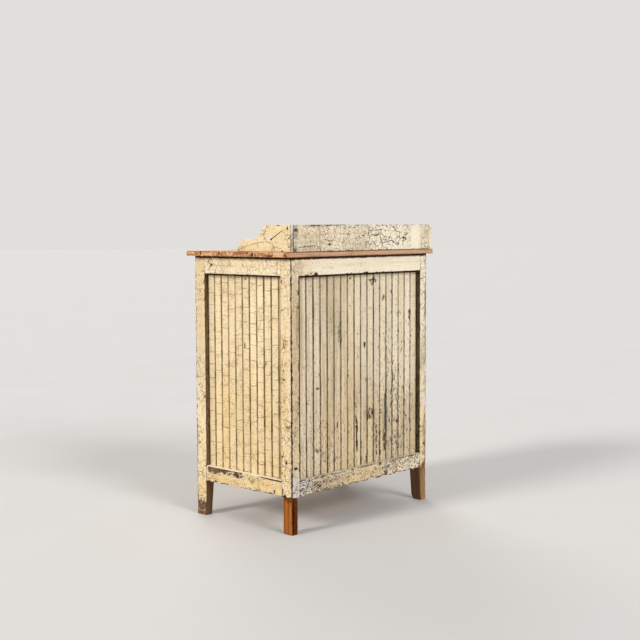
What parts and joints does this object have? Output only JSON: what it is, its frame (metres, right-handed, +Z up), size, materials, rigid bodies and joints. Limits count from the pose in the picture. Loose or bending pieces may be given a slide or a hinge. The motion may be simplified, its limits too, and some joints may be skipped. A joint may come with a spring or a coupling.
{
  "type": "storage cabinet",
  "caption": "Tall beadboard storage cabinet on legs with a pair of doors, shelves and a counter that carries a low scrolled gallery.",
  "frame": {"origin": "on the floor under the middle of the whole, which runs from the knobs at the front to the counter's edge at the back", "axes": "+Z up, -Y towards the doors at the front, +X to the right as one faces the doors"},
  "size_m": [0.876, 0.576, 1.17],
  "materials": {
    "cream_paint": "old crackled cream paint on softwood",
    "bare_counter": "stripped softwood",
    "bare_fir": "bare oiled softwood",
    "inner_wood": "bare aged softwood",
    "iron": "dark worn iron",
    "steel": "dull bright steel"
  },
  "bodies": {
    "carcass": {"post_front_left": "cream_paint", "post_front_right": "cream_paint", "post_rear_left": "cream_paint", "post_rear_right": "cream_paint", "foot_rear_right": "bare_fir", "end_left_top_rail": "cream_paint", "end_left_bottom_rail": "cream_paint", "end_right_top_rail": "cream_paint", "end_right_bottom_rail": "cream_paint", "back_top_rail": "cream_paint", "back_bottom_rail": "cream_paint", "front_top_rail": "cream_paint", "front_bottom_rail": "cream_paint", "end_left_boards": "cream_paint", "end_right_boards": "cream_paint", "back_boards": "cream_paint", "floor_board": "inner_wood", "lower_shelf": "inner_wood", "upper_shelf": "inner_wood", "floor_cleats": "inner_wood", "lower_shelf_cleats": "inner_wood", "upper_shelf_cleats": "inner_wood", "counter_cleats": "inner_wood", "door_stop": "inner_wood", "counter_board_1": "bare_counter", "counter_board_2": "bare_counter", "counter_board_3": "bare_counter", "counter_board_4": "bare_counter", "gallery_back": "cream_paint", "gallery_end_left": "cream_paint", "gallery_end_right": "cream_paint", "hinge_post_leaves_left": "iron", "hinge_post_leaves_right": "iron", "hinge_pins_left": "iron", "hinge_pins_right": "iron", "hinge_post_screws": "iron"},
    "door_left": {"door_left_hinge_stile": "cream_paint", "door_left_lock_stile": "cream_paint", "door_left_top_rail": "cream_paint", "door_left_bottom_rail": "cream_paint", "door_left_boards": "cream_paint", "door_left_hinge_leaves": "iron", "door_left_hinge_screws": "iron", "door_left_rosette": "iron", "door_left_knob": "iron", "bolt_plate": "iron", "bolt_screws": "iron"},
    "door_bolt": {"bolt_rod": "steel"},
    "door_right": {"door_right_hinge_stile": "cream_paint", "door_right_lock_stile": "cream_paint", "door_right_top_rail": "cream_paint", "door_right_bottom_rail": "cream_paint", "door_right_boards": "cream_paint", "door_right_hinge_leaves": "iron", "door_right_hinge_screws": "iron", "door_right_rosette": "iron"},
    "latch": {"latch_knob": "iron", "latch_pawl": "iron", "latch_nut": "steel"}
  },
  "joints": [
    {"name": "door_left_hinge", "type": "hinge", "parent": "carcass", "child": "door_left", "pos_m": [-0.36775, -0.264, 0.5915], "axis": [0, 0, -1], "range_deg": [0, 170]},
    {"name": "door_right_hinge", "type": "hinge", "parent": "carcass", "child": "door_right", "pos_m": [0.36775, -0.264, 0.5915], "axis": [0, 0, 1], "range_deg": [0, 170]},
    {"name": "latch_turn", "type": "hinge", "parent": "door_right", "child": "latch", "pos_m": [0.02725, -0.26, 0.6], "axis": [0, 1, 0], "range_deg": [0, 90]},
    {"name": "bolt_slide", "type": "slide", "parent": "door_left", "child": "door_bolt", "axis": [0, 0, 1], "range_m": [0, 0.016]}
  ]
}
